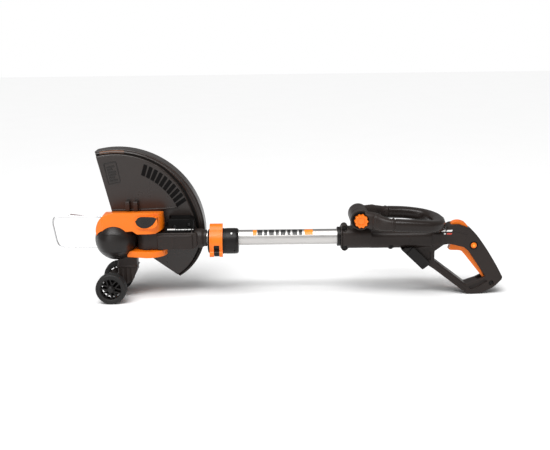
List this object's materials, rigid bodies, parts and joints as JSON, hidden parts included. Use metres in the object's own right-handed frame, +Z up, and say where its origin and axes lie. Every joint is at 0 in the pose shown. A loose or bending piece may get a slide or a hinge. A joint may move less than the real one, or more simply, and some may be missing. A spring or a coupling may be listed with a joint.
{
  "type": "lawn edger",
  "caption": "Cordless lawn edger: wheeled tilting head with line guard, telescoping shaft with lever clamp, folding loop handle and trigger grip.",
  "frame": {"origin": "on the ground, at the middle of the tool's box seen from above", "axes": "+X along the shaft from the cutting head towards the rear grip, +Y to the side that the guard and spool are on, +Z up"},
  "size_m": [0.8109, 0.135, 0.2635],
  "materials": {
    "charcoal_plastic": "fine moulded texture, satin",
    "black_plastic": "smooth satin moulding",
    "orange_plastic": "smooth semi-gloss moulding",
    "aluminium": "satin drawn tube",
    "steel": "bright wire and pins",
    "brass": "plated contact metal",
    "board": "coated circuit board",
    "nylon": "translucent nylon line",
    "white_plastic": "smooth moulding"
  },
  "bodies": {
    "rear_body": {"housing_near": "charcoal_plastic", "housing_far": "charcoal_plastic", "housing_screw_1": "steel", "housing_screw_2": "steel", "housing_screw_3": "steel", "housing_screw_4": "steel", "tube_collar": "black_plastic", "upper_tube": "aluminium", "battery_dock": "black_plastic", "dock_terminals": "brass", "control_board": "board", "power_switch": "black_plastic", "power_lead": "black_plastic", "trigger_spring": "steel", "clamp_body": "black_plastic", "clamp_pin": "steel"},
    "clamp_lever": {"clamp_lever": "orange_plastic"},
    "trigger": {"trigger": "orange_plastic"},
    "lock_off_button": {"lock_off_button": "orange_plastic"},
    "feed_button": {"feed_button": "orange_plastic"},
    "aux_handle": {"aux_handle": "charcoal_plastic", "aux_nut": "steel"},
    "aux_knob": {"aux_knob": "orange_plastic", "aux_bolt": "steel"},
    "lower_shaft": {"inner_tube": "aluminium", "tube_bush": "black_plastic"},
    "neck": {"neck_near": "charcoal_plastic", "neck_far": "charcoal_plastic", "neck_screw_1": "steel", "neck_screw_2": "steel"},
    "head": {"yoke_near": "orange_plastic", "yoke_far": "orange_plastic", "yoke_screw": "steel", "pivot_pin": "black_plastic", "tilt_spring": "steel", "motor_cover": "charcoal_plastic", "motor_base": "charcoal_plastic", "motor_can": "steel", "guard": "charcoal_plastic", "guard_screw_1": "steel", "guard_screw_2": "steel", "line_cutter": "steel", "wheel_bracket": "charcoal_plastic", "wheel_axle": "steel", "axle_cap_near": "steel", "axle_cap_far": "steel"},
    "tilt_button": {"tilt_button": "black_plastic"},
    "wire_guard": {"wire_guard": "steel"},
    "spool": {"motor_rotor": "steel", "spool_housing": "black_plastic", "line_spool": "white_plastic", "spool_spring": "steel", "spool_cap": "black_plastic", "line_eyelet": "steel", "line_winding": "nylon", "cutting_line": "nylon"},
    "wheel_near": {"wheel_near": "black_plastic"},
    "wheel_far": {"wheel_far": "black_plastic"}
  },
  "joints": [
    {"name": "telescope", "type": "slide", "parent": "rear_body", "child": "lower_shaft", "axis": [-1, 0, 0], "range_m": [0, 0.15]},
    {"name": "edge_turn", "type": "hinge", "parent": "lower_shaft", "child": "neck", "pos_m": [-0.14, 0, 0.106], "axis": [1, 0, 0], "range_deg": [-90, 0]},
    {"name": "head_tilt", "type": "hinge", "parent": "neck", "child": "head", "pos_m": [-0.226, 0, 0.106], "axis": [0, 0, 1], "range_deg": [0, 60]},
    {"name": "tilt_button_press", "type": "slide", "parent": "head", "child": "tilt_button", "axis": [0, 1, 0], "range_m": [0, 0.003], "stiffness_N_per_m": 600, "springref_m": -0.002, "deforming": ["tilt_spring"]},
    {"name": "wire_guard_slide", "type": "slide", "parent": "head", "child": "wire_guard", "axis": [-1, 0, 0], "range_m": [-0.07, 0.04]},
    {"name": "spool_spin", "type": "hinge", "parent": "head", "child": "spool", "pos_m": [-0.283, 0, 0.107], "axis": [0, 1, 0], "continuous": true},
    {"name": "wheel_near_spin", "type": "hinge", "parent": "head", "child": "wheel_near", "pos_m": [-0.289, -0.044, 0.027], "axis": [0, 1, 0], "continuous": true},
    {"name": "wheel_far_spin", "type": "hinge", "parent": "head", "child": "wheel_far", "pos_m": [-0.289, 0.044, 0.027], "axis": [0, 1, 0], "continuous": true},
    {"name": "clamp_lever_open", "type": "hinge", "parent": "rear_body", "child": "clamp_lever", "pos_m": [-0.1045, -0.0205, 0.082], "axis": [1, 0, 0], "range_deg": [0, 100]},
    {"name": "trigger_squeeze", "type": "hinge", "parent": "rear_body", "child": "trigger", "pos_m": [0.318, 0, 0.094], "axis": [0, -1, 0], "range_deg": [0, 6], "stiffness_Nm_per_rad": 1.2, "springref_deg": -6.88, "deforming": ["trigger_spring"]},
    {"name": "lock_off_press", "type": "slide", "parent": "rear_body", "child": "lock_off_button", "axis": [0, 0, -1], "range_m": [0, 0.003], "stiffness_N_per_m": 600, "springref_m": -0.002},
    {"name": "feed_press", "type": "slide", "parent": "rear_body", "child": "feed_button", "axis": [0, 1, 0], "range_m": [0, 0.002], "stiffness_N_per_m": 600, "springref_m": -0.002},
    {"name": "aux_tilt", "type": "hinge", "parent": "rear_body", "child": "aux_handle", "pos_m": [0.15, 0, 0.1415], "axis": [0, -1, 0], "range_deg": [0, 100]},
    {"name": "aux_knob_turn", "type": "hinge", "parent": "aux_handle", "child": "aux_knob", "pos_m": [0.15, -0.0313, 0.1415], "axis": [0, -1, 0], "continuous": true}
  ]
}
